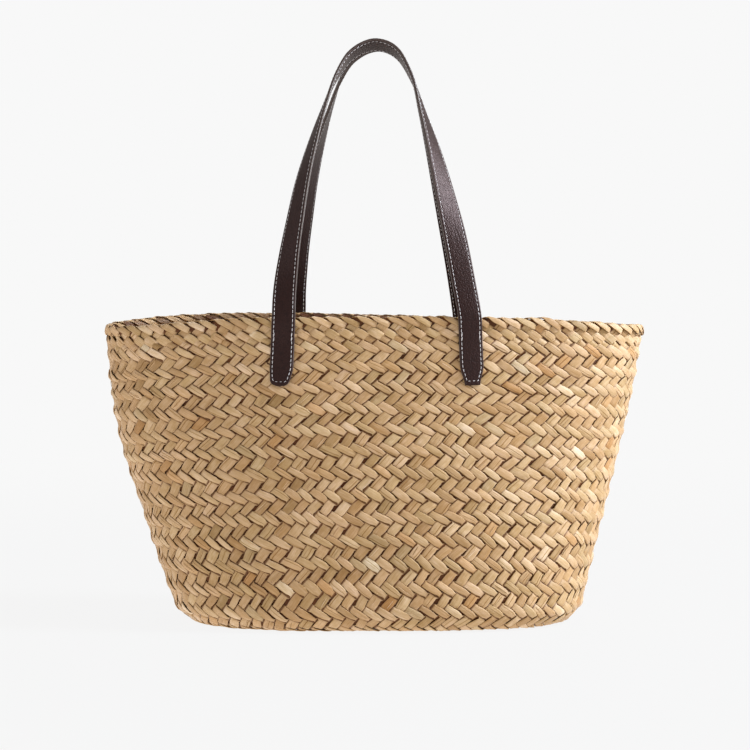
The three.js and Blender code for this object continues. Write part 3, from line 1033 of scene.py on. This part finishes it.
class Nodes:
    """Short calls for building a material's nodes."""

    def __init__(self, name):
        self.material = bpy.data.materials.new(name)
        self.material.use_nodes = True
        self.tree = self.material.node_tree
        self.shader = self.tree.nodes["Principled BSDF"]

    def add(self, kind, **settings):
        node = self.tree.nodes.new(kind)
        for key, value in settings.items():
            setattr(node, key, value)
        return node

    def put(self, socket, value):
        if isinstance(value, bpy.types.NodeSocket):
            self.tree.links.new(value, socket)
        else:
            socket.default_value = value

    def attribute(self, name):
        return self.add("ShaderNodeAttribute", attribute_name=name).outputs["Fac"]

    def math(self, operation, first, second=0.0):
        node = self.add("ShaderNodeMath", operation=operation)
        self.put(node.inputs[0], first)
        self.put(node.inputs[1], second)
        return node.outputs[0]

    def times(self, first, second):
        return self.math("MULTIPLY", first, second)

    def place(self):
        """The place on the piece, in metres."""
        return self.add("ShaderNodeTexCoord").outputs["Object"]

    def step(self, value, low, high, start=0.0, end=1.0):
        node = self.add("ShaderNodeMapRange", interpolation_type="SMOOTHSTEP")
        self.put(node.inputs["Value"], value)
        for key, limit in (("From Min", low), ("From Max", high), ("To Min", start), ("To Max", end)):
            node.inputs[key].default_value = limit
        return node.outputs["Result"]

    def vector(self, x, y, z):
        node = self.add("ShaderNodeCombineXYZ")
        for socket, value in zip(node.inputs, (x, y, z)):
            self.put(socket, value)
        return node.outputs[0]

    def noise(self, vector, scale, detail, roughness):
        node = self.add("ShaderNodeTexNoise")
        self.put(node.inputs["Vector"], vector)
        node.inputs["Scale"].default_value = scale
        node.inputs["Detail"].default_value = detail
        node.inputs["Roughness"].default_value = roughness
        return node.outputs["Fac"]

    def mix(self, share, first, second, blend="MIX"):
        node = self.add("ShaderNodeMix", data_type="RGBA", blend_type=blend)
        self.put(node.inputs["Factor"], share)
        self.put(node.inputs["A"], first)
        self.put(node.inputs["B"], second)
        return node.outputs["Result"]

    def ramp(self, value, stops):
        node = self.add("ShaderNodeValToRGB")
        self.put(node.inputs["Fac"], value)
        ramp = node.color_ramp
        for index, (place, colour) in enumerate(stops):
            stop = ramp.elements[index] if index < 2 else ramp.elements.new(place)
            stop.position = place
            stop.color = colour
        return node.outputs["Color"]

    def bump(self, height, distance, strength):
        node = self.add("ShaderNodeBump")
        self.put(node.inputs["Height"], height)
        node.inputs["Distance"].default_value = distance
        node.inputs["Strength"].default_value = strength
        return node.outputs["Normal"]


def straw_material():
    """Dried straw: long fibres, a tone and hue for each float, and painted shade in its depths and
    crevices.
    """
    n = Nodes("straw")
    names = ("tone", "hue", "height", "across", "along", "strand", "split")
    tone, hue, height, across, along, strand, split = (n.attribute(name) for name in names)

    fibre_place = n.vector(n.times(along, 55.0), n.times(across, 6.0), n.times(strand, 3.7))
    fibres = n.noise(fibre_place, 1.0, 3.0, 0.6)
    fine_place = n.vector(n.times(along, 90.0), n.times(across, 17.0), n.times(strand, 5.1))
    fine = n.noise(fine_place, 1.0, 2.0, 0.7)
    blotch_place = n.vector(n.times(along, 140.0), across, n.times(strand, 2.3))
    blotches = n.noise(blotch_place, 1.0, 2.0, 0.5)

    light = n.ramp(tone, (
        (0.0, linear(158, 127, 86)),
        (1.0, linear(222, 200, 172)),
        (0.3, linear(180, 149, 109)),
        (0.55, linear(194, 165, 127)),
        (0.8, linear(206, 179, 145)),
    ))
    tint = n.ramp(hue, (
        (0.0, linear(240, 216, 186)),
        (1.0, linear(240, 243, 243)),
        (0.03, linear(252, 242, 230)),
        (0.2, linear(255, 249, 248)),
        (0.55, linear(255, 252, 251)),
        (0.82, linear(254, 252, 248)),
        (0.94, linear(250, 249, 241)),
    ))
    colour = n.mix(1.0, light, tint, "MULTIPLY")
    shade = n.step(fibres, 0.3, 0.7, 0.85, 1.08)
    shade = n.times(shade, n.step(fine, 0.3, 0.7, 0.90, 1.05))
    shade = n.times(shade, n.step(blotches, 0.3, 0.7, 0.90, 1.07))
    # Painted shade: a dark line along one edge of each strip, and a little darker along the other
    shade = n.times(shade, n.step(across, -1.0, -0.80, 0.26, 1.0))
    shade = n.times(shade, n.step(across, 0.86, 1.0, 1.0, 0.85))
    # Painted shade where the wall meets the floor: darker towards the bottom 4 mm
    parts = n.add("ShaderNodeSeparateXYZ")
    n.put(parts.inputs[0], n.place())
    shade = n.times(shade, n.step(parts.outputs["Z"], 0.0, 0.004, 0.6, 1.0))
    # Painted shade in a split strip's groove; the groove also dents the relief
    groove_place = n.math("SUBTRACT", across, n.times(n.math("SUBTRACT", split, 0.86), 4.0))
    near_groove = n.step(n.math("ABSOLUTE", groove_place), 0.02, 0.11, 1.0, 0.0)
    groove = n.times(near_groove, n.step(split, 0.66, 0.70))
    shade = n.times(shade, n.math("SUBTRACT", 1.0, n.times(groove, 0.55)))
    # Darker shade, the straw's own and the painted, turns warmer
    warm_shade = n.vector(n.math("POWER", shade, 0.72), shade, n.math("POWER", shade, 1.8))
    colour = n.mix(1.0, colour, warm_shade, "MULTIPLY")
    # Painted shade: deep brown where a strip lies deep, dives or hides under the rim
    painted_depth_shade = n.mix(1.0, colour, linear(128, 89, 52), "MULTIPLY")
    colour = n.mix(n.step(height, -0.9, 0.4), painted_depth_shade, colour)
    n.put(n.shader.inputs["Base Color"], colour)
    n.put(n.shader.inputs["Roughness"], n.step(fibres, 0.2, 0.8, 0.46, 0.62))
    n.shader.inputs["Specular IOR Level"].default_value = 0.24
    n.shader.inputs["Sheen Weight"].default_value = 0.12
    n.shader.inputs["Sheen Roughness"].default_value = 0.4
    relief = n.math("ADD", n.times(fibres, 0.6), n.times(fine, 0.4))
    relief = n.math("SUBTRACT", relief, n.times(groove, 1.2))
    n.put(n.shader.inputs["Normal"], n.bump(relief, 0.00022, 0.8))
    return n.material


def leather_material():
    """Dark brown pebbled leather with a soft sheen."""
    n = Nodes("leather")
    place = n.place()
    grain = n.add("ShaderNodeTexVoronoi", feature="SMOOTH_F1")
    n.put(grain.inputs["Vector"], place)
    grain.inputs["Scale"].default_value = 780
    pebble = n.step(grain.outputs["Distance"], 0.1, 0.75, 1.0, 0.0)
    wide = n.noise(place, 260, 3.0, 0.6)
    fine = n.noise(place, 2600, 2.0, 0.6)
    colour = n.ramp(wide, ((0.3, linear(24, 10, 7)), (0.7, linear(33, 16, 12))))
    colour = n.mix(n.times(pebble, 0.35), colour, linear(50, 28, 22))
    n.put(n.shader.inputs["Base Color"], colour)
    n.put(n.shader.inputs["Roughness"], n.step(pebble, 0.0, 1.0, 0.52, 0.42))
    n.shader.inputs["Specular IOR Level"].default_value = 0.24
    n.shader.inputs["Specular Tint"].default_value = (1.0, 0.80, 0.84, 1)
    relief = n.math("ADD", n.times(pebble, 0.7), n.times(fine, 0.3))
    n.put(n.shader.inputs["Normal"], n.bump(relief, 0.0003, 0.9))
    return n.material


def paint_material():
    """The straps' painted cut edge."""
    n = Nodes("edge_paint")
    place = n.place()
    cloud = n.noise(place, 400, 3.0, 0.6)
    colour = n.ramp(cloud, ((0.3, linear(48, 36, 33)), (0.7, linear(70, 55, 50))))
    n.put(n.shader.inputs["Base Color"], colour)
    n.put(n.shader.inputs["Roughness"], n.step(cloud, 0.2, 0.8, 0.32, 0.48))
    n.put(n.shader.inputs["Normal"], n.bump(cloud, 0.0001, 0.5))
    return n.material


def thread_material():
    """Cream sewing thread with its twist."""
    n = Nodes("thread")
    place = n.place()
    twist = n.noise(place, 3200, 2.0, 0.6)
    colour = n.ramp(twist, ((0.3, linear(186, 182, 184)), (0.7, linear(230, 228, 232))))
    n.put(n.shader.inputs["Base Color"], colour)
    n.shader.inputs["Roughness"].default_value = 0.7
    n.put(n.shader.inputs["Normal"], n.bump(twist, 0.0001, 0.6))
    return n.material


def main():
    make_camera()
    wall = WallSurface()
    make_stage(wall.floor_outline)
    random = np.random.default_rng(SEED)
    straw = straw_material()
    waves = unevenness(random)
    wall_strips(wall, random, waves, "falling", straw)
    wall_strips(wall, random, waves, "rising", straw)
    loose_fibres(wall, random, waves, straw)
    rim_folds(wall, random, straw)
    floor_strips(wall, random, straw)
    leather = leather_material()
    paint = paint_material()
    thread = thread_material()
    for node in ("strap_front", "strap_back"):
        line = strap(node, leather, paint)
        stitches(node, line, thread)


main()
